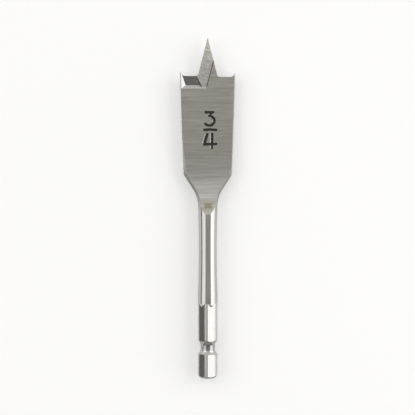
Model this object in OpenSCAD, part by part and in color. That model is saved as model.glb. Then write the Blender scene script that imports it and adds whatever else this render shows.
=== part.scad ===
// Spade drill bit for boring wood, forged from one steel bar.
// It has a hexagonal quick-change shank with a locking groove, a slim round shaft, a neck pressed flat,
// and a blade ground to two cutting edges, two spurs and a centre point.
// It is drawn upright on its axis, shank end at zero and point up, with its front face towards -Y.
// The last step lays it down as it rests on a table: face up, on its collar and on the flat below its neck.

/* [Lengths] */
// Hexagonal shank
shank_length = 25; // [20:0.5:32]
// Round shaft and flattened neck, from the shank to the shoulders of the blade
stem_length = 45; // [38:0.5:120]
// Blade, from its shoulders to its cutting edges
blade_length = 33.8; // [22:0.1:45]
// Centre point, above the cutting edges
point_height = 13.2; // [9:0.1:18]

/* [Shank and shaft] */
// Bar that the bit is forged from, which also rounds the corners of the hexagon
bar_diameter = 6.8; // [6.6:0.05:7.2]
// Hexagon across its flats, to suit a quarter-inch chuck
hex_across_flats = 6.35; // [6:0.05:6.5]
// Turn of the hexagon about the axis, from a corner facing the front
hex_turn = -9; // [-30:1:30]
// Length over which the flats run out into the round bar
flat_run_out = 1.7; // [0.8:0.1:3]
// Bevel round the end of the shank
end_chamfer = 0.8; // [0.3:0.1:1.2]
// Locking groove, diameter at its floor
groove_diameter = 4.9; // [4.2:0.1:5.6]
// Locking groove, from the end of the shank to the lower edge of its floor
groove_position = 9.2; // [7:0.1:12]
// Locking groove, length of its floor
groove_floor = 2.4; // [1.5:0.1:3.5]
// Locking groove, length of the slope towards the end of the shank
groove_lower_slope = 1.2; // [0.6:0.1:2]
// Locking groove, length of the slope towards the shaft
groove_upper_slope = 1.4; // [0.6:0.1:2]
// Height of the hexagon's corners above the shank's nominal length, where the flats have run out
corner_overrun = 0.8; // [0.4:0.1:1.2]
// Full-width collar left above the shank
collar_length = 3; // [2.2:0.1:6]
// Shaft at the middle of its waist
waist_diameter = 6.2; // [5.4:0.05:6.5]
// Distance from the upper end of the waist to the shoulders
waist_to_shoulder = 10; // [8:0.5:14]

/* [Neck and blade] */
// Thickness of the blade
blade_thickness = 2; // [1.6:0.05:2.6]
// Width over the spurs, which is the size of the hole
blade_width = 19.05; // [16:0.05:26]
// Width at the shoulders
shoulder_width = 16.8; // [14:0.05:23]
// Angle of the shoulders from the axis
shoulder_angle = 33; // [26:1:42]
// Radius that blends the shoulders into the shaft
neck_radius = 11; // [6:0.5:14]
// Radius of the sweep from the flat faces up to the round shaft
face_sweep_radius = 45; // [30:1:60]
// Thickness over the short flats that the press leaves on the shaft, where the sweep meets it
neck_thickness = 6.35; // [6.2:0.05:6.5]
// Clearance of the blade's sides behind their leading corners
side_clearance = 10; // [4:0.5:14]

/* [Cutting edges and spurs] */
// Relief of the cutting edges, from the leading face down to the trailing one
edge_relief = 14.5; // [8:0.5:20]
// Radius ground between a cutting edge and its spur
spur_radius = 2; // [1.5:0.1:3]
// Distance from the side of the blade to where that radius meets the cutting edge
spur_inset = 1.9; // [1.2:0.1:1.9]
// Width of the land left outside the hollow, along the side
side_land = 0.27; // [0.15:0.01:0.5]
// Rake of the hollow under each cutting edge
rake_angle = 10; // [6:0.5:14]
// Greatest depth of the hollow
hollow_depth = 0.8; // [0.4:0.05:0.85]
// Slope at the far end of the hollow, back up to the face
hollow_return_angle = 32; // [20:1:50]
// Slope at the outer end of the hollow, up to the land
hollow_outer_angle = 29; // [20:1:45]
// Slope at the inner end of the hollow, beside the point
hollow_inner_angle = 58; // [45:1:75]
// Slant of that inner end from the axis
hollow_inner_slant = 29; // [15:1:35]
// Distance from the foot of the point to that inner end
hollow_inner_gap = 0.42; // [0.3:0.02:0.7]

/* [Centre point] */
// Width of the point where it leaves the cutting edges
point_width = 6.8; // [5.6:0.1:8]
// Radius in the corners at the foot of the point
point_root_radius = 0.8; // [0.3:0.1:1.2]
// Width of the facet ground along each leading edge of the point
facet_width = 4.2; // [3:0.1:4.6]
// Depth of the facet at the foot of the leading edge
facet_depth = 0.1; // [0.05:0.01:0.2]
// Slope of the facet across the point
facet_cross_slope = 6; // [3:0.5:7]
// Slope of the facet towards the tip
facet_tip_slope = 1.3; // [0.5:0.1:1.5]
// Slope of the wall along the inner side of the facet
facet_wall_angle = 60; // [45:1:75]

/* [Hidden] */
$fn = 144;
steel = [0.56, 0.55, 0.52];
// Overlap that lets blended surfaces cross instead of only touching
blend = 0.005;
// How far a tool reaches past the surface that it cuts
spare = 2;
// Size of the tools that cut away whatever lies beyond a face
far = 60;

bar_r = bar_diameter / 2;
face = blade_thickness / 2;
hex_r = hex_across_flats / 2;
z_shoulder = shank_length + stem_length;
z_edge = z_shoulder + blade_length;
z_tip = z_edge + point_height;

// The waist is one long arc between the collar and the neck
waist_from = shank_length + collar_length;
waist_to = z_shoulder - waist_to_shoulder;
waist_mid = (waist_from + waist_to) / 2;
waist_half = (waist_to - waist_from) / 2;
waist_dip = bar_r - waist_diameter / 2;
waist_radius = (pow(waist_half, 2) + pow(waist_dip, 2)) / (2 * waist_dip);
waist_centre = bar_r - waist_dip + waist_radius;
function waist_at(z) = waist_centre - sqrt(pow(waist_radius, 2) - pow(z - waist_mid, 2));

// The shoulders come down a cone and turn into the shaft by an arc
shoulder_r = norm([shoulder_width / 2, face]);
blend_length = neck_radius * tan(shoulder_angle / 2);
function neck_start(r) = z_shoulder - (shoulder_r - r) / tan(shoulder_angle) - blend_length;
neck_r = waist_at(neck_start(bar_r)) - 2 * blend;
z_neck = neck_start(neck_r);

// The blade's plate starts just above the shoulders, inside the flare, and is a little over size
plate_rise = 0.6;
grinding_stock = 0.2;

// Spur tips stand above the cutting edges, and the rake of each hollow starts at their height
spur_height = spur_radius - sqrt(pow(spur_radius, 2) - pow(spur_inset, 2));
z_spur = z_edge + spur_height;
z_hollow = z_spur - hollow_depth / tan(rake_angle);
z_return = z_hollow - hollow_depth / tan(hollow_return_angle);
side_taper = atan((blade_width - shoulder_width) / 2 / (z_spur - z_shoulder));
// The sharp line of the tip lies midway between the two relieved flanks of the point
flank_height = (point_height + face * tan(edge_relief)) * cos(edge_relief);
flank_angle = atan(point_width / 2 / flank_height);

module both_wings() {
    children();
    rotate([0, 0, 180]) children();
}

// Sets a profile drawn in X and Z across the blade, from well in front of it to well behind
module across_blade(depth) {
    translate([0, depth / 2, 0]) rotate([90, 0, 0]) linear_extrude(depth) children();
}

// Sets a profile drawn in Y and Z along the width of the blade
module along_width(width) {
    rotate([90, 0, 90]) translate([0, 0, -width / 2]) linear_extrude(width) children();
}

// Outline of the turned bar on one side of its axis, with the end bevel, groove and waist
module bar_profile() {
    groove_r = groove_diameter / 2;
    groove_end = groove_position + groove_floor;
    difference() {
        polygon([
            [0, 0],
            [bar_r - end_chamfer, 0],
            [bar_r, end_chamfer],
            [bar_r, groove_position - groove_lower_slope],
            [groove_r, groove_position],
            [groove_r, groove_end],
            [bar_r, groove_end + groove_upper_slope],
            [bar_r, z_neck + spare],
            [0, z_neck + spare]
        ]);
        translate([waist_centre, waist_mid]) circle(waist_radius, $fn = 720);
    }
}

// Outline of the flare from the shaft to just above the shoulders
module neck_profile() {
    z_blend = z_neck + neck_radius * sin(shoulder_angle);
    r_blend = neck_r + neck_radius * (1 - cos(shoulder_angle)) - blend;
    r_top = shoulder_r + 2 * plate_rise * tan(shoulder_angle) - blend;
    difference() {
        translate([0, z_neck]) square([shoulder_r + spare, z_shoulder + plate_rise * 1.5 - z_neck]);
        translate([neck_r + neck_radius, z_neck]) circle(neck_radius);
        polygon([
            [r_blend, z_blend],
            [r_top, z_shoulder + 2 * plate_rise],
            [r_top + spare, z_shoulder + 2 * plate_rise],
            [r_top + spare, z_blend]
        ]);
    }
}

module turned_bar() {
    rotate_extrude() union() {
        bar_profile();
        neck_profile();
    }
}

// Plate of the blade, a little over size, before its sides and top are ground
module blade_plate() {
    foot_half = shoulder_width / 2 + grinding_stock;
    top_half = blade_width / 2 + grinding_stock + point_height * tan(side_taper);
    across_blade(4 * blade_thickness) polygon([
        [-foot_half, z_shoulder + plate_rise],
        [foot_half, z_shoulder + plate_rise],
        [top_half, z_tip + spare],
        [-top_half, z_tip + spare]
    ]);
}

// What the press and the face grinder take off one side: the short flat, the sweep and the flat face
module face_cut() {
    along_width(far) union() {
        translate([-neck_thickness / 2 - far, waist_mid]) square([far, z_shoulder - waist_mid]);
        translate([-face - face_sweep_radius, z_shoulder]) circle(face_sweep_radius + blend, $fn = 360);
        translate([-face - far, z_shoulder]) square([far, blade_length + point_height + 2 * spare]);
    }
}

// Everything outside the hexagon, ending in a cone where the flats run out
module shank_flats_cut() {
    run_out_slope = (bar_r - hex_r) / flat_run_out;
    cone_foot = shank_length + corner_overrun - 3 * flat_run_out;
    cone_r = hex_r - 2 * flat_run_out * run_out_slope;
    cone_height = 5 * flat_run_out;
    difference() {
        translate([0, 0, -spare]) cylinder(r = 2 * bar_r, h = shank_length + spare + collar_length / 2);
        rotate([0, 0, hex_turn - 90])
            translate([0, 0, -2 * spare])
            cylinder(r = hex_r / cos(30), h = shank_length + far, $fn = 6);
        translate([0, 0, cone_foot])
            cylinder(r1 = cone_r, r2 = cone_r + cone_height * run_out_slope, h = cone_height);
    }
}

// The tapered side behind the left leading corner
module side_cut() {
    translate([-blade_width / 2, -face, z_spur])
        rotate([0, -side_taper, 0])
        rotate([0, 0, -side_clearance])
        translate([-far / 2, -far / 2, -blade_length - 4 * spare])
        cube([far / 2, far, blade_length + far / 2]);
}

// What is ground off above the left cutting edge: spur, edge and flank of the point in one outline
module top_profile() {
    spur_x = spur_inset - blade_width / 2;
    root_x = -point_width / 2 + point_root_radius * (tan(flank_angle) - 1 / cos(flank_angle));
    flank_far = 2 * flank_height;
    union() {
        translate([spur_x, spur_radius]) circle(spur_radius + blend);
        translate([root_x, point_root_radius]) circle(point_root_radius + blend);
        polygon([
            [spur_x, 0],
            [root_x, 0],
            [root_x + point_root_radius * cos(flank_angle), point_root_radius * (1 - sin(flank_angle))],
            [-point_width / 2 + flank_far * tan(flank_angle), flank_far],
            [-far / 2, flank_far],
            [-far / 2, spur_radius],
            [spur_x, spur_radius]
        ]);
    }
}

module top_cut() {
    translate([0, -face, z_edge]) rotate([-edge_relief, 0, 0]) across_blade(far / 2) top_profile();
}

// Hollow ground under the left cutting edge, closed at its outer end by the spur
// and at its inner end by the point
module rake_hollow() {
    intersection() {
        translate([0, -face, 0]) along_width(far) polygon([
            [hollow_depth, z_hollow],
            [-spare, z_spur + spare / tan(rake_angle)],
            [-spare, z_return - spare / tan(hollow_return_angle)]
        ]);
        translate([side_land - blade_width / 2, -face, z_spur])
            rotate([0, -side_taper, 0])
            rotate([0, 0, hollow_outer_angle - 90])
            translate([0, -far / 2, -far / 2])
            cube(far);
        translate([-point_width / 2 - hollow_inner_gap, -face, z_edge])
            rotate([0, -hollow_inner_slant, 0])
            rotate([0, 0, 90 - hollow_inner_angle])
            translate([-far, -far / 2, -far / 2])
            cube(far);
    }
}

// Facet ground along the left edge of the point, deeper towards the tip, which it thins
module point_facet() {
    intersection() {
        translate([-point_width / 2, facet_depth - face, z_edge])
            rotate([-facet_tip_slope, 0, facet_cross_slope])
            translate([-far / 2, -far, -far / 2])
            cube(far);
        translate([facet_width - point_width / 2, -face, z_edge])
            rotate([0, flank_angle, 0])
            rotate([0, 0, 90 - facet_wall_angle])
            translate([-far, -far / 2, -far / 2])
            cube(far);
        translate([0, -face, 0]) along_width(far) polygon([
            [-spare, z_return - spare / tan(hollow_return_angle)],
            [spare, z_return + spare / tan(hollow_return_angle)],
            [spare, z_tip + spare],
            [-spare, z_tip + spare]
        ]);
    }
}

module forged_blank() {
    difference() {
        union() {
            turned_bar();
            blade_plate();
        }
        both_wings() face_cut();
    }
}

module trimmed_blank() {
    difference() {
        forged_blank();
        both_wings() side_cut();
        shank_flats_cut();
    }
}

module ground_bit() {
    difference() {
        difference() {
            trimmed_blank();
            both_wings() top_cut();
        }
        both_wings() {
            rake_hollow();
            point_facet();
        }
    }
}

module spade_bit() {
    color(steel)
        translate([0, -z_tip / 2, bar_r])
        rotate([-90, 0, 0])
        ground_bit();
}

spade_bit();
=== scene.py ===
import math

import bpy
from mathutils import Matrix, Vector


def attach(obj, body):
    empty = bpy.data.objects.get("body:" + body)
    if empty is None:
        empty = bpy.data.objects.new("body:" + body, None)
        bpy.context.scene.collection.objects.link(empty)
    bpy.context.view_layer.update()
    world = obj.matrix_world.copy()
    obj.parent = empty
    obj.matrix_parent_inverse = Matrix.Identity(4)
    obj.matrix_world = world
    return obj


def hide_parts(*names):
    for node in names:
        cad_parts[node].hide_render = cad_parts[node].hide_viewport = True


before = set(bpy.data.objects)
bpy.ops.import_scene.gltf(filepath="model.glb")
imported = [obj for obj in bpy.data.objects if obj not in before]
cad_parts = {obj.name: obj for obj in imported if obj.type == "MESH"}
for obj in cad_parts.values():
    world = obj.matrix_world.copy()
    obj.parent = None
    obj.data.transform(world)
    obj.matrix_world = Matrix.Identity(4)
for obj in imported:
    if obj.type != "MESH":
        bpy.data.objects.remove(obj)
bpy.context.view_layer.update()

# Turned bar. The bit starts as one round bar of tool steel, cut to length and turned with an end
# bevel, a locking groove and a slim waist, its upper end upset into a wide flare for the blade.
# It is drawn in millimetres, shank end at zero, the axis along +Y and the marked face up.
bar_radius, end_radius, end_bevel = 3.4, 2.6, 0.8
groove_radius, groove_round = 2.45, 0.7
shank_middle, corner_end = 20.0, 25.6
waist_start, waist_end, waist_radius = 28.0, 60.0, 3.1
neck_start, neck_fillet, flare_angle = 58.9, 11.0, math.radians(33)
shoulder, tip = 70.0, 117.0
blank_spread, spread_length, blank_half, blank_over = 0.13, 14, 13.0, 2
waist_steps, neck_steps, flare_steps, round_steps = 28, 24, 12, 6
merge_reach = 0.0005


def waist_at(along):
    """Radius of the shaft along its waist, which is one long arc."""
    middle, half = (waist_start + waist_end) / 2, (waist_end - waist_start) / 2
    dip = bar_radius - waist_radius
    arc = (half ** 2 + dip ** 2) / (2 * dip)
    return waist_radius + arc - math.sqrt(arc ** 2 - (along - middle) ** 2)


def draw_line(name, points):
    """Draws a line of edges by extruding one vertex from point to point."""
    bpy.ops.object.select_all(action="DESELECT")
    bpy.ops.mesh.primitive_plane_add(size=1)
    drawn = bpy.context.object
    drawn.name = name
    bpy.ops.object.mode_set(mode="EDIT")
    bpy.ops.mesh.merge(type="CENTER")
    bpy.ops.transform.translate(value=points[0])
    for here, there in zip(points, points[1:]):
        step = Vector(there) - Vector(here)
        bpy.ops.mesh.extrude_region_move(TRANSFORM_OT_translate={"value": step})
    bpy.ops.object.mode_set(mode="OBJECT")
    return drawn


def grain_lines(finish, place, scale, detail, roughness):
    """Noise that is drawn out along the short axis of its scale."""
    nodes, links = finish.node_tree.nodes, finish.node_tree.links
    stretch = nodes.new("ShaderNodeMapping")
    stretch.inputs["Scale"].default_value = scale
    lines = nodes.new("ShaderNodeTexNoise")
    lines.inputs["Scale"].default_value = 1.0
    lines.inputs["Detail"].default_value = detail
    lines.inputs["Roughness"].default_value = roughness
    links.new(place, stretch.inputs["Vector"])
    links.new(stretch.outputs["Vector"], lines.inputs["Vector"])
    return lines.outputs["Fac"]


def shades(finish, value, stops):
    """Colours that follow a value, given as pairs of a place and a colour."""
    shading = finish.node_tree.nodes.new("ShaderNodeValToRGB")
    ramp = shading.color_ramp.elements
    for end, (position, colour) in ((0, stops[0]), (1, stops[-1])):
        ramp[end].position = position
        ramp[end].color = (*colour, 1)
    for position, colour in stops[1:-1]:
        ramp.new(position).color = (*colour, 1)
    finish.node_tree.links.new(value, shading.inputs["Fac"])
    return shading.outputs["Color"]


def steel(name, colour, roughness, grain, contrast, scratch, grain_turn=0.0):
    """Bare steel with fine grinding lines, drawn out along the short axis of the grain's scale."""
    made = bpy.data.materials.new(name)
    made.use_nodes = True
    nodes, links = made.node_tree.nodes, made.node_tree.links
    shader = nodes["Principled BSDF"]
    shader.inputs["Metallic"].default_value = 1.0
    place = nodes.new("ShaderNodeTexCoord")
    turn = nodes.new("ShaderNodeMapping")
    turn.inputs["Rotation"].default_value = (0, 0, grain_turn)
    links.new(place.outputs["Object"], turn.inputs["Vector"])
    lines = grain_lines(made, turn.outputs["Vector"], grain, 5.0, 0.78)
    dark = [c * (1 - contrast) for c in colour]
    pale = [min(1, c * (1 + contrast)) for c in colour]
    tint = shades(made, lines, [(0.25, dark), (0.75, pale)])
    dull = nodes.new("ShaderNodeMapRange")
    dull.inputs["From Min"].default_value = 0.3
    dull.inputs["From Max"].default_value = 0.7
    dull.inputs["To Min"].default_value = roughness * 1.15
    dull.inputs["To Max"].default_value = roughness * 0.85
    bump = nodes.new("ShaderNodeBump")
    bump.inputs["Strength"].default_value = 1.0
    bump.inputs["Distance"].default_value = scratch
    links.new(tint, shader.inputs["Base Color"])
    links.new(lines, dull.inputs["Value"])
    links.new(dull.outputs["Result"], shader.inputs["Roughness"])
    links.new(lines, bump.inputs["Height"])
    links.new(bump.outputs["Normal"], shader.inputs["Normal"])
    return made


groove = [(bar_radius, 8.0), (groove_radius, 9.2), (groove_radius, 11.6), (bar_radius, 13.0)]
groove_start, turned_start, groove_end = groove[0][1], 9.4, groove[3][1]
profile = [(0.0, 0.0), (end_radius, 0.0), (bar_radius, end_bevel), groove[0]]
for before, corner, after in zip(groove, groove[1:], groove[2:]):
    corner = Vector(corner)
    start = corner + (Vector(before) - corner).normalized() * groove_round
    end = corner + (Vector(after) - corner).normalized() * groove_round
    for i in range(round_steps + 1):
        share = i / round_steps
        profile.append(tuple(start.lerp(corner, share).lerp(corner.lerp(end, share), share)))
profile.append(groove[3])
profile += [(bar_radius, along) for along in (shank_middle, corner_end, waist_start)]
for i in range(1, waist_steps + 1):
    along = waist_start + (neck_start - waist_start) * i / waist_steps
    profile.append((waist_at(along), along))
for i in range(1, neck_steps + 1):
    angle = flare_angle * i / neck_steps
    profile.append((
        waist_at(neck_start) + neck_fillet * (1 - math.cos(angle)),
        neck_start + neck_fillet * math.sin(angle),
    ))
flare_radius, flare_along = profile[-1]
for i in range(1, flare_steps + 1):
    along = flare_along + (shoulder - flare_along) * i / flare_steps
    profile.append((flare_radius + (along - flare_along) * math.tan(flare_angle), along))
shoulder_radius = profile[-1][0]
for i in range(1, spread_length + 1):
    profile.append((shoulder_radius + blank_spread * i, shoulder + i))
profile += [
    (blank_half, shoulder + spread_length + blank_over),
    (blank_half, tip + blank_over),
    (0.0, tip + blank_over),
]

bit = draw_line("spade_bit_steel", [(radius, along, 0) for radius, along in profile])
bpy.ops.object.mode_set(mode="EDIT")
bpy.ops.mesh.select_all(action="SELECT")
bpy.ops.mesh.spin(steps=240, angle=2 * math.pi, center=(0, 0, 0), axis=(0, 1, 0))
bpy.ops.mesh.select_all(action="SELECT")
bpy.ops.mesh.remove_doubles(threshold=merge_reach)
bpy.ops.mesh.normals_make_consistent(inside=False)
bpy.ops.object.mode_set(mode="OBJECT")

bright_steel, mirror_polish = (0.62, 0.61, 0.59), 0.10
polished = steel(
    "polished_steel", bright_steel, mirror_polish,
    grain=(900, 60, 900), contrast=0.05, scratch=2e-6,
)
satin = steel(
    "satin_steel", (0.72, 0.71, 0.69), roughness=0.40,
    grain=(900, 200, 900), contrast=0.08, scratch=3e-6,
)
turned = steel(
    "turned_steel", (0.48, 0.475, 0.46), roughness=0.15,
    grain=(120, 2600, 120), contrast=0.12, scratch=4e-6,
)
cropped = steel(
    "cropped_steel", (0.40, 0.395, 0.385), roughness=0.32,
    grain=(1500, 1500, 1500), contrast=0.2, scratch=6e-6,
)
for finish in (polished, satin, turned, cropped):
    bit.data.materials.append(finish)
for face in bit.data.polygons:
    along = face.center.y
    if along < end_bevel:
        face.material_index = bit.data.materials.find(cropped.name)
    elif turned_start < along < groove_end:
        face.material_index = bit.data.materials.find(turned.name)
    elif along < corner_end and not groove_start < along < groove_end:
        face.material_index = bit.data.materials.find(satin.name)

# Pressed neck and blade. A press squeezes the flare flat between two dies, which leave a short flat
# and a long sweep at the neck, and swell its edges round. Dark scale stays on those edges, and a
# straw-coloured patch on the neck, when the faces are then ground across. The edges' dark colour is
# partly painted shade, standing in for the dark room that their rounded sides mirror.
face_half, sweep_radius, sweep_steps, neck_flat = 1.0, 45.0, 72, 3.175
neck_swell, leading_swell, trailing_swell = 1.41, 2.0, 2.6
scale_and_shade_start, scale_and_shade_full = 57, 64
die_half, die_start, die_top, die_over = 20, 44.0, 10.0, 4


def face_height(along):
    """Height of the pressed face above the axis."""
    if along >= shoulder:
        return face_half
    return face_half + sweep_radius - math.sqrt(sweep_radius ** 2 - (shoulder - along) ** 2)


for vertex in bit.data.vertices:
    along = vertex.co.y
    if along > neck_start:
        share = min(1, (along - neck_start) / (shoulder - neck_start))
        full_swell = leading_swell if vertex.co.x * vertex.co.z < 0 else trailing_swell
        swell = neck_swell + (full_swell - neck_swell) * share
        half_width = next(
            r0 + (r1 - r0) * (along - a0) / (a1 - a0)
            for (r0, a0), (r1, a1) in zip(profile, profile[1:])
            if a0 <= along + 1e-4 and along <= a1 + 1e-4 and a1 > a0
        )
        vertex.co.z *= min(1, face_height(along) * swell / half_width)


def take_up(piece):
    """Selects one piece alone, to work on it."""
    bpy.ops.object.select_all(action="DESELECT")
    piece.select_set(True)
    bpy.context.view_layer.objects.active = piece


def fill_and_extrude(outline, reach):
    """Closes a drawn line, fills it and extrudes the face into a solid tool."""
    take_up(outline)
    bpy.ops.object.mode_set(mode="EDIT")
    bpy.ops.mesh.select_all(action="SELECT")
    bpy.ops.mesh.edge_face_add()
    bpy.ops.mesh.extrude_region_move(TRANSFORM_OT_translate={"value": reach})
    bpy.ops.mesh.select_all(action="SELECT")
    bpy.ops.mesh.normals_make_consistent(inside=False)
    bpy.ops.object.mode_set(mode="OBJECT")
    return outline


def cut_away(tool, *finishes):
    """Cuts the tool's shape out of the bit. The cut faces take the finishes that the tool leaves."""
    for finish in finishes:
        tool.data.materials.append(finish)
    take_up(bit)
    cut = bit.modifiers.new("cut", "BOOLEAN")
    cut.operation = "DIFFERENCE"
    cut.solver = "EXACT"
    cut.material_mode = "TRANSFER"
    cut.object = tool
    bpy.ops.object.modifier_apply(modifier=cut.name)
    bpy.data.objects.remove(tool)


def cut_both_wings(tool, *finishes):
    """Cuts with a tool, and then with a copy of it turned half round the axis."""
    take_up(tool)
    bpy.ops.object.duplicate()
    far_tool = bpy.context.object
    far_tool.data.transform(Matrix.Rotation(math.pi, 4, "Y"))
    cut_away(tool, *finishes)
    cut_away(far_tool, *finishes)


def run_along(finish, start, end):
    """A value in a finish that runs from 0 to 1 between two places along the bit."""
    nodes, links = finish.node_tree.nodes, finish.node_tree.links
    axes, run = nodes.new("ShaderNodeSeparateXYZ"), nodes.new("ShaderNodeMapRange")
    run.inputs["From Min"].default_value = (start - tip / 2) / 1000
    run.inputs["From Max"].default_value = (end - tip / 2) / 1000
    links.new(nodes["Texture Coordinate"].outputs["Object"], axes.inputs["Vector"])
    links.new(axes.outputs["Y"], run.inputs["Value"])
    return run


# Dark forged scale, partly painted shade for the dark reflections along the neck's rounded edges.
forged_scale_and_shade = steel(
    "forged_scale_and_shade_steel", (0.34, 0.34, 0.33), roughness=0.38,
    grain=(700, 700, 700), contrast=0.15, scratch=6e-6,
)
bit.data.materials.append(forged_scale_and_shade)
for face in bit.data.polygons:
    if face.center.y > scale_and_shade_start - 1:
        face.material_index = bit.data.materials.find(forged_scale_and_shade.name)
nodes, links = forged_scale_and_shade.node_tree.nodes, forged_scale_and_shade.node_tree.links
# Fades from polished steel at the waist to the dark scale and painted shade of the neck's edges.
scale_and_shade_run = run_along(forged_scale_and_shade, scale_and_shade_start, scale_and_shade_full).outputs["Result"]
scale_and_shade_colour, scale_dull = nodes.new("ShaderNodeMix"), nodes.new("ShaderNodeMix")
scale_and_shade_colour.data_type = "RGBA"
scale_and_shade_colour.inputs[6].default_value = (*bright_steel, 1)
scale_dull.inputs[2].default_value = mirror_polish
links.new(scale_and_shade_run, scale_and_shade_colour.inputs[0])
links.new(nodes["Color Ramp"].outputs["Color"], scale_and_shade_colour.inputs[7])
links.new(scale_and_shade_colour.outputs[2], nodes["Principled BSDF"].inputs["Base Color"])
links.new(scale_and_shade_run, scale_dull.inputs[0])
links.new(nodes["Map Range"].outputs["Result"], scale_dull.inputs[3])
links.new(scale_dull.outputs[0], nodes["Principled BSDF"].inputs["Roughness"])

brushed = steel(
    "brushed_steel", (0.80, 0.787, 0.745), roughness=0.30,
    grain=(75, 1400, 75), contrast=0.30, scratch=5e-6,
)
nodes, links = brushed.node_tree.nodes, brushed.node_tree.links
place = nodes["Texture Coordinate"].outputs["Object"]
even_grey, clean = (0.84, 0.84, 0.84), (1.0, 0.995, 0.985)
streak_lines = grain_lines(brushed, place, (30, 1900, 30), 5.0, 0.7)
streaks = shades(brushed, streak_lines, [
    (0.26, (0.64, 0.63, 0.60)), (0.36, even_grey), (0.64, even_grey), (0.74, (1.0, 1.0, 1.0)),
])
fade = nodes.new("ShaderNodeMapRange")
fade.inputs["From Min"].default_value = 0.38
fade.inputs["From Max"].default_value = 0.62
links.new(grain_lines(brushed, place, (150, 420, 150), 2.0, 0.5), fade.inputs["Value"])
faded = nodes.new("ShaderNodeMix")
faded.data_type = "RGBA"
faded.inputs[6].default_value = (*even_grey, 1)
links.new(fade.outputs["Result"], faded.inputs[0])
links.new(streaks, faded.inputs[7])
neck_tint = shades(brushed, run_along(brushed, 57, 77).outputs["Result"], [
    (0.0, (0.90, 0.88, 0.82)), (0.19, (0.88, 0.86, 0.80)),
    (0.22, clean), (0.45, clean), (1.0, (0.78, 0.765, 0.72)),
])
patch_middle, patch_colour = 59.0, (0.64, 0.60, 0.51, 1)
patch_place = nodes.new("ShaderNodeMapping")
patch_place.inputs["Scale"].default_value = (880, 1250, 0)
patch_place.inputs["Location"].default_value = (-0.1, 1.25 * (tip / 2 - patch_middle), 0)
patch_reach = nodes.new("ShaderNodeVectorMath")
patch_reach.operation = "ABSOLUTE"
patch_axes = nodes.new("ShaderNodeSeparateXYZ")
patch_edge = nodes.new("ShaderNodeMath")
patch_edge.operation = "MAXIMUM"
patch = nodes.new("ShaderNodeMapRange")
patch.inputs["From Min"].default_value = 1.6
patch.inputs["From Max"].default_value = 0.65
links.new(place, patch_place.inputs["Vector"])
links.new(patch_place.outputs["Vector"], patch_reach.inputs[0])
links.new(patch_reach.outputs["Vector"], patch_axes.inputs["Vector"])
links.new(patch_axes.outputs["X"], patch_edge.inputs[0])
links.new(patch_axes.outputs["Y"], patch_edge.inputs[1])
links.new(patch_edge.outputs["Value"], patch.inputs["Value"])
with_streaks, with_neck, with_patch = [nodes.new("ShaderNodeMix") for layer in range(3)]
for layer in (with_streaks, with_neck, with_patch):
    layer.data_type = "RGBA"
    layer.blend_type = "MULTIPLY"
    layer.inputs[0].default_value = 1.0
with_patch.inputs[7].default_value = patch_colour
links.new(nodes["Color Ramp"].outputs["Color"], with_streaks.inputs[6])
links.new(faded.outputs[2], with_streaks.inputs[7])
links.new(with_streaks.outputs[2], with_neck.inputs[6])
links.new(neck_tint, with_neck.inputs[7])
links.new(patch.outputs["Result"], with_patch.inputs[0])
links.new(with_neck.outputs[2], with_patch.inputs[6])
links.new(with_patch.outputs[2], nodes["Principled BSDF"].inputs["Base Color"])

die_line = [(-die_half, die_start, die_top), (-die_half, die_start, neck_flat)]
sweep_rise = sweep_radius + face_half - neck_flat
sweep_from = shoulder - math.sqrt(sweep_radius ** 2 - sweep_rise ** 2)
for i in range(sweep_steps + 1):
    along = sweep_from + (shoulder - sweep_from) * i / sweep_steps
    die_line.append((-die_half, along, face_height(along)))
die_line += [(-die_half, tip + die_over, face_half), (-die_half, tip + die_over, die_top)]
cut_both_wings(fill_and_extrude(draw_line("die", die_line), (2 * die_half, 0, 0)), brushed)

# Ground sides. Each side of the blade is ground with a taper towards the shoulders and leans back
# from its leading corner, so that only the corner rubs in the hole.
edge, spur_radius, spur_inset = 103.8, 2.0, 1.9
spur_along = edge + spur_radius - math.sqrt(spur_radius ** 2 - spur_inset ** 2)
blade_half, shoulder_half = 9.525, 8.4
side_taper = math.atan((blade_half - shoulder_half) / (spur_along - shoulder))
side_clearance = math.radians(10)
side_ground = steel(
    "side_ground_steel", (0.56, 0.55, 0.53), roughness=0.26,
    grain=(900, 90, 900), contrast=0.05, scratch=3e-6,
)
bpy.ops.object.select_all(action="DESELECT")
bpy.ops.mesh.primitive_cube_add(size=1)
side_wheel = bpy.context.object
side_wheel.data.transform(Matrix.Translation((-0.5, 0, 0)))
side_wheel.data.transform(Matrix.Diagonal((30, 90, 60, 1)))
side_wheel.data.transform(Matrix.Rotation(-side_clearance, 4, "Y"))
side_wheel.data.transform(Matrix.Rotation(side_taper, 4, "Z"))
side_wheel.data.transform(Matrix.Translation((-blade_half, spur_along, face_half)))
cut_both_wings(side_wheel, side_ground)

# Ground top. One formed wheel grinds a cutting edge, its spur and a flank of the point in a single
# outline, tipped back for relief behind the leading face.
edge_relief = math.radians(14.5)
point_half, root_radius, point_height = 3.4, 0.8, 13.2
wheel_half, wheel_reach, spur_steps, root_steps = 30, 15, 24, 16
flank_height = (point_height + face_half * math.tan(edge_relief)) * math.cos(edge_relief)
flank_angle = math.atan(point_half / flank_height)
spur_x = spur_inset - blade_half
root_x = -point_half + root_radius * (math.tan(flank_angle) - 1 / math.cos(flank_angle))
wheel_line = [(-wheel_half, spur_radius)]
for i in range(spur_steps + 1):
    angle = math.pi + math.pi / 2 * i / spur_steps
    wheel_line.append((
        spur_x + spur_radius * math.cos(angle),
        spur_radius * (1 + math.sin(angle)),
    ))
for i in range(root_steps + 1):
    angle = -math.pi / 2 + (math.pi / 2 - flank_angle) * i / root_steps
    wheel_line.append((
        root_x + root_radius * math.cos(angle),
        root_radius * (1 + math.sin(angle)),
    ))
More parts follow.
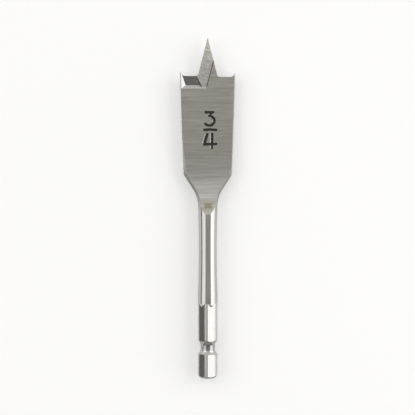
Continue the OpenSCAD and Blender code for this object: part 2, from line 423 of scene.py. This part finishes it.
wheel_line += [
    (-point_half + wheel_half * math.tan(flank_angle), wheel_half),
    (-wheel_half, wheel_half),
]
back, down = math.cos(edge_relief), math.sin(edge_relief)
formed_wheel = fill_and_extrude(
    draw_line("formed_wheel", [
        (x, edge + up * back + wheel_reach * down, face_half - up * down + wheel_reach * back)
        for x, up in wheel_line
    ]),
    (0, -2 * wheel_reach * down, -2 * wheel_reach * back),
)
edge_ground = steel(
    "edge_ground_steel", (0.61, 0.60, 0.57), roughness=0.24,
    grain=(300, 2600, 300), contrast=0.06, scratch=4e-6,
)
cut_both_wings(formed_wheel, edge_ground)

# Ground hollows and facets. A small coarse wheel hollows the face under each cutting edge for rake,
# and thins each side of the point with a shallow facet, which is left rough and speckled. The steep
# walls are painted near black, as painted shade for these narrow, shadowed walls.
rake, hollow_depth, return_angle = math.radians(10), 0.8, math.radians(32)
side_land, outer_slope = 0.27, math.radians(29)
inner_gap, inner_slope, inner_slant = 0.42, math.radians(58), math.radians(29)
facet_width, facet_depth, facet_wall_slope = 4.2, 0.1, math.radians(60)
facet_tip_slope, facet_cross_slope = math.radians(1.3), math.radians(6)
hollow_along = spur_along - hollow_depth / math.tan(rake)
return_along = hollow_along - hollow_depth / math.tan(return_angle)
clear = 2.0


def trim(tool, place, facing):
    """Keeps the part of a tool on the far side of a plane, and closes the cut."""
    take_up(tool)
    bpy.ops.object.mode_set(mode="EDIT")
    bpy.ops.mesh.select_all(action="SELECT")
    bpy.ops.mesh.bisect(plane_co=place, plane_no=facing, use_fill=True, clear_outer=True)
    bpy.ops.mesh.select_all(action="SELECT")
    bpy.ops.mesh.normals_make_consistent(inside=False)
    bpy.ops.object.mode_set(mode="OBJECT")


def wall_facing(slope, slant):
    """Direction of a wall that leans by slope from the face and is slanted along the bit."""
    sideways = math.sin(slope)
    return Vector((sideways * math.cos(slant), sideways * math.sin(slant), math.cos(slope)))


def leave_finish(tool, facing, finish_number):
    """Gives the tool's face that points that way one of the finishes that it cuts with."""
    for face in tool.data.polygons:
        if face.normal.dot(facing.normalized()) > 0.999:
            face.material_index = finish_number


coarse = steel(
    "coarse_ground_steel", (0.66, 0.647, 0.60), roughness=0.40,
    grain=(1100, 1700, 1100), contrast=0.5, scratch=1.2e-5, grain_turn=0.6,
)
nodes, links = coarse.node_tree.nodes, coarse.node_tree.links
tip_run = run_along(coarse, 106, 113)
tip_run.inputs["To Min"].default_value = 0.90
tip_run.inputs["To Max"].default_value = 1.14
brighter_tip = nodes.new("ShaderNodeVectorMath")
brighter_tip.operation = "SCALE"
links.new(nodes["Color Ramp"].outputs["Color"], brighter_tip.inputs[0])
links.new(tip_run.outputs["Result"], brighter_tip.inputs["Scale"])
links.new(brighter_tip.outputs["Vector"], nodes["Principled BSDF"].inputs["Base Color"])
# Darker than the other ground steel: partly painted shade for the dark room that the hollow floors
# mirror.
hollow_ground_and_shade = steel(
    "hollow_ground_and_shade_steel", (0.40, 0.385, 0.375), roughness=0.24,
    grain=(250, 2200, 250), contrast=0.4, scratch=5e-6, grain_turn=0.12,
)
# Near-black painted shade for the steep walls of the hollows and facets.
painted_shade_walls = steel(
    "painted_shade_wall_steel", (0.11, 0.105, 0.10), roughness=0.45,
    grain=(2500, 2500, 2500), contrast=0.25, scratch=6e-6,
)
hollow_wheel = fill_and_extrude(
    draw_line("hollow_wheel", [
        (-wheel_reach, hollow_along, face_half - hollow_depth),
        (-wheel_reach, spur_along + clear / math.tan(rake), face_half + clear),
        (-wheel_reach, return_along - clear / math.tan(return_angle), face_half + clear),
    ]),
    (2 * wheel_reach, 0, 0),
)
outer_facing = wall_facing(outer_slope, side_taper)
trim(hollow_wheel, (-blade_half + side_land, spur_along, face_half), -outer_facing)
inner_facing = wall_facing(inner_slope, inner_slant)
inner_facing.z = -inner_facing.z
trim(hollow_wheel, (-point_half - inner_gap, edge, face_half), inner_facing)
leave_finish(hollow_wheel, Vector((0, math.sin(rake), -math.cos(rake))), 1)
leave_finish(hollow_wheel, inner_facing, 2)
leave_finish(hollow_wheel, -outer_facing, 3)
cut_both_wings(hollow_wheel, edge_ground, hollow_ground_and_shade, painted_shade_walls, side_ground)

bpy.ops.object.select_all(action="DESELECT")
bpy.ops.mesh.primitive_cube_add(size=1)
facet_wheel = bpy.context.object
facet_wheel.data.transform(Matrix.Diagonal((24, 40, 6, 1)))
facet_wheel.data.transform(Matrix.Translation((0, edge, 2)))
floor_facing = Vector((0, 0, -1))
floor_facing.rotate(Matrix.Rotation(facet_tip_slope, 3, "X"))
floor_facing.rotate(Matrix.Rotation(facet_cross_slope, 3, "Y"))
trim(facet_wheel, (-point_half, edge, face_half - facet_depth), floor_facing)
facet_wall = wall_facing(facet_wall_slope, -flank_angle)
facet_wall.z = -facet_wall.z
trim(facet_wheel, (facet_width - point_half, edge, face_half), facet_wall)
leave_finish(facet_wheel, facet_wall, 1)
return_facing = Vector((0, -math.sin(return_angle), -math.cos(return_angle)))
trim(facet_wheel, (0, return_along, face_half), return_facing)
leave_finish(facet_wheel, return_facing, 2)
cut_both_wings(facet_wheel, coarse, painted_shade_walls, edge_ground)

# Hexagonal shank. Six flats are milled on the end of the bar for a quick-change chuck. Each ends below
# the collar in a sloping arch, and the bar's own surface is left along the corners.
hex_flat, hex_turn = 3.175, math.radians(-9)
flat_end, arch_rise, arch_half, arch_slope, arch_steps = 24.5, 1.1, 1.2, math.radians(24), 24
mill_half, mill_start, mill_reach = 2.4, -6.0, 0.6
milled = steel(
    "milled_steel", bright_steel, roughness=0.09,
    grain=(900, 70, 900), contrast=0.05, scratch=2e-6,
)
flat_line = [(-mill_half, mill_start, hex_flat), (mill_half, mill_start, hex_flat)]
for i in range(arch_steps + 1):
    across = mill_half - 2 * mill_half * i / arch_steps
    flat_line.append((across, flat_end + arch_rise * (across / arch_half) ** 2, hex_flat))
for corner in range(6):
    flat_mill = fill_and_extrude(
        draw_line("flat_mill", flat_line),
        (0, mill_reach / math.tan(arch_slope), mill_reach),
    )
    for face in flat_mill.data.polygons:
        if face.normal.y > 0.2:
            face.material_index = 1
    flat_turn = hex_turn + math.radians(30 + 60 * corner)
    flat_mill.data.transform(Matrix.Rotation(flat_turn, 4, "Y"))
    cut_away(flat_mill, milled, forged_scale_and_shade)

# Stamped size. The hole size, three quarters of an inch, is struck into the marked face one over the
# other with plain steel stamps. Each stroke has a dark floor, and a bright sloping wall on its left.
stamp_depth, stamp_clear, end_round = 0.3, 0.2, 0.14
wall_lean, stamp_draft = 0.29, 0.05
stamped = steel(
    "stamped_steel", (0.07, 0.065, 0.06), roughness=0.5,
    grain=(2500, 2500, 2500), contrast=0.3, scratch=6e-6,
)


def smooth(points):
    """Draws a soft curve through points of two places and a width."""
    points = [Vector(point) for point in points]
    curve = []
    for i in range(len(points) - 1):
        before, here = points[max(0, i - 1)], points[i]
        there, after = points[i + 1], points[min(len(points) - 1, i + 2)]
        for step in range(4):
            t = step / 4
            bend = (2 * before - 5 * here + 4 * there - after) * t ** 2
            twist = (3 * here - before - 3 * there + after) * t ** 3
            curve.append((2 * here + (there - before) * t + bend + twist) / 2)
    return curve + [points[-1]]


def strike(points):
    """Strikes one stroke of a figure, along points of two places and a width."""
    points = [Vector(point) for point in points]
    start = (points[0] - points[1]).xy.normalized() * end_round
    end = (points[-1] - points[-2]).xy.normalized() * end_round
    points.insert(0, Vector((*(points[0].xy + start), points[0].z - 2 * end_round)))
    points.append(Vector((*(points[-1].xy + end), points[-1].z - 2 * end_round)))
    left, right = [], []
    for before, here, after in zip([points[0]] + points, points, points[1:] + [points[-1]]):
        run = (after - before).xy.normalized()
        sideways = Vector((-run.y, run.x))
        left.append((here.xy + sideways * here.z / 2, sideways))
        right.append((here.xy - sideways * here.z / 2, -sideways))
    ring = left + right[::-1]
    stamp = fill_and_extrude(
        draw_line("stamp", [(*place, face_half - stamp_depth) for place, outward in ring]),
        (0, 0, stamp_depth + stamp_clear),
    )
    spread = (stamp_depth + stamp_clear) / stamp_depth
    for vertex in stamp.data.vertices:
        if vertex.co.z > face_half:
            place, outward = min(ring, key=lambda pair: (pair[0] - vertex.co.xy).length)
            vertex.co.x += spread * (stamp_draft * outward.x + wall_lean * min(0, outward.x))
            vertex.co.y += spread * stamp_draft * outward.y
    bpy.ops.object.mode_set(mode="EDIT")
    bpy.ops.mesh.select_all(action="SELECT")
    bpy.ops.mesh.quads_convert_to_tris()
    bpy.ops.object.mode_set(mode="OBJECT")
    for face in stamp.data.polygons:
        if face.normal.x < -0.3 and abs(face.normal.z) < 0.9:
            face.material_index = 1
    cut_away(stamp, stamped, edge_ground)


three = [
    [(-0.95, 91.2, 0.85), (2.1, 91.25, 0.65)],
    [(1.75, 91.2, 0.38), (0.45, 89.85, 0.32)],
    smooth([
        (0.35, 89.8, 0.45), (1.2, 89.85, 0.6), (1.95, 89.35, 0.72), (2.3, 88.6, 0.75),
        (2.15, 87.65, 0.75), (1.55, 86.95, 0.75), (0.7, 86.65, 0.75), (-0.2, 86.85, 0.72),
        (-0.85, 87.5, 0.6),
    ]),
]
fraction_bar = [(-1.4, 85.15, 0.85), (0.9, 85.3, 0.75), (3.1, 85.15, 0.75)]
four = [
    [(-0.13, 83.9, 0.85), (-1.2, 80.3, 0.9)],
    [(-1.45, 80.2, 0.9), (3.1, 80.35, 0.75)],
    [(1.5, 84.0, 0.8), (1.5, 80.2, 0.7), (1.42, 78.7, 0.5)],
]
for stroke in three + [fraction_bar] + four:
    strike(stroke)

# Finished bit. It is one piece of steel that keeps sharp edges where its ground faces meet. It lies on
# its collar and neck flats, marked face up, where the CAD part lies.
take_up(bit)
bpy.ops.object.mode_set(mode="EDIT")
bpy.ops.mesh.select_all(action="SELECT")
bpy.ops.mesh.remove_doubles(threshold=merge_reach)
bpy.ops.mesh.dissolve_degenerate(threshold=merge_reach)
bpy.ops.object.mode_set(mode="OBJECT")
bit.data.transform(Matrix.Translation((0, -tip / 2, bar_radius)))
bit.data.transform(Matrix.Scale(0.001, 4))
bpy.ops.object.shade_smooth_by_angle(angle=math.radians(14))
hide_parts("spade_bit")
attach(bit, "root")

# Table. A wide sheet of white paper under the bit, matt and plain, which shows the bit's soft shadow.
# It is made a little whiter where it is seen, straight or mirrored in the steel, and white far away.
near_white, far_white, mirrored_white = 0.28, 0.65, 0.1
bpy.ops.object.select_all(action="DESELECT")
bpy.ops.mesh.primitive_plane_add(size=60)
table = bpy.context.object
table.name = "table"
paper = bpy.data.materials.new("white_paper")
paper.use_nodes = True
nodes, links = paper.node_tree.nodes, paper.node_tree.links
sheet = nodes["Principled BSDF"]
sheet.inputs["Base Color"].default_value = (0.92, 0.92, 0.92, 1)
sheet.inputs["Roughness"].default_value = 0.9
sheet.inputs["Specular IOR Level"].default_value = 0.1
sheet.inputs["Emission Color"].default_value = (1, 1, 1, 1)
place = nodes.new("ShaderNodeTexCoord")
distance_away = nodes.new("ShaderNodeVectorMath")
distance_away.operation = "LENGTH"
white_away = nodes.new("ShaderNodeMapRange")
white_away.inputs["From Min"].default_value = 0.2
white_away.inputs["From Max"].default_value = 0.7
white_away.inputs["To Min"].default_value = near_white
white_away.inputs["To Max"].default_value = far_white
ray = nodes.new("ShaderNodeLightPath")
mirrored = nodes.new("ShaderNodeMath")
mirrored.operation = "MAXIMUM"
white_in_steel = nodes.new("ShaderNodeMath")
white_in_steel.operation = "MULTIPLY"
white_in_steel.inputs[1].default_value = mirrored_white
seen_white = nodes.new("ShaderNodeMath")
seen_white.operation = "MULTIPLY_ADD"
links.new(place.outputs["Object"], distance_away.inputs[0])
links.new(distance_away.outputs["Value"], white_away.inputs["Value"])
links.new(ray.outputs["Is Glossy Ray"], mirrored.inputs[0])
links.new(ray.outputs["Is Transmission Ray"], mirrored.inputs[1])
links.new(mirrored.outputs["Value"], white_in_steel.inputs[0])
links.new(ray.outputs["Is Camera Ray"], seen_white.inputs[0])
links.new(white_away.outputs["Result"], seen_white.inputs[1])
links.new(white_in_steel.outputs["Value"], seen_white.inputs[2])
links.new(seen_white.outputs["Value"], sheet.inputs["Emission Strength"])
table.data.materials.append(paper)

# Studio light. Two long soft boxes stand beside the bit, the right one lower and brighter, in a grey
# room that is lighter towards the point of the bit, and darker towards its shank and near the table.
box_distance, box_half_length, box_along = 0.9, 0.6, 0.1


def soft_box(name, angle, spread, radiance):
    """Hangs a soft box at an angle from overhead, and turns it towards the bit."""
    width = 2 * box_distance * math.tan(math.radians(spread))
    light = bpy.data.lights.new(name, "AREA")
    light.shape = "RECTANGLE"
    light.size, light.size_y = width, 2 * box_half_length
    light.energy = radiance * math.pi * width * 2 * box_half_length
    box = bpy.data.objects.new(name, light)
    bpy.context.scene.collection.objects.link(box)
    tilt = math.radians(angle)
    box.location = (box_distance * math.sin(tilt), box_along, box_distance * math.cos(tilt))
    box.rotation_euler = (0, tilt, 0)
    box.visible_camera = False


soft_box("right_soft_box", 64, 27, 1.3)
soft_box("left_soft_box", -51.5, 23, 0.8)

room = bpy.data.worlds.new("room")
bpy.context.scene.world = room
room.use_nodes = True
nodes, links = room.node_tree.nodes, room.node_tree.links
way = nodes.new("ShaderNodeTexCoord")
split = nodes.new("ShaderNodeSeparateXYZ")
along_room = nodes.new("ShaderNodeMapRange")
along_room.inputs["From Min"].default_value = -1.0
room_greys = [(0.22, 0.30), (0.325, 0.17), (0.5, 0.41), (0.725, 0.72)]
room_tone = shades(room, along_room.outputs["Result"], [
    (0.0, (0.42, 0.42, 0.41)),
    *[(position, (grey, grey * 0.99, grey * 0.97)) for position, grey in room_greys],
    (1.0, (0.72, 0.715, 0.70)),
])
across_room = nodes.new("ShaderNodeMath")
across_room.operation = "ABSOLUTE"
side = nodes.new("ShaderNodeMapRange")
side.inputs["From Min"].default_value = 0.995
side.inputs["From Max"].default_value = 0.89
side.inputs["To Min"].default_value = 0.35
side.inputs["To Max"].default_value = 1.0
links.new(way.outputs["Generated"], split.inputs["Vector"])
links.new(split.outputs["Y"], along_room.inputs["Value"])
links.new(room_tone, nodes["Background"].inputs["Color"])
links.new(split.outputs["X"], across_room.inputs[0])
links.new(across_room.outputs["Value"], side.inputs["Value"])
links.new(side.outputs["Result"], nodes["Background"].inputs["Strength"])

# Camera. It looks straight down on the marked face with the point up, from far enough away that the
# bit's sides hardly show.
camera_height, camera_aside, frame_width = 0.28, -0.0001, 0.1431
lens = bpy.data.cameras.new("camera")
lens.sensor_width = 36
lens.lens = 36 * camera_height / frame_width
camera = bpy.data.objects.new("camera", lens)
bpy.context.scene.collection.objects.link(camera)
camera.location = (camera_aside, 0, bar_radius / 1000 + camera_height)
bpy.context.scene.camera = camera
bpy.context.scene.view_settings.view_transform = "Standard"
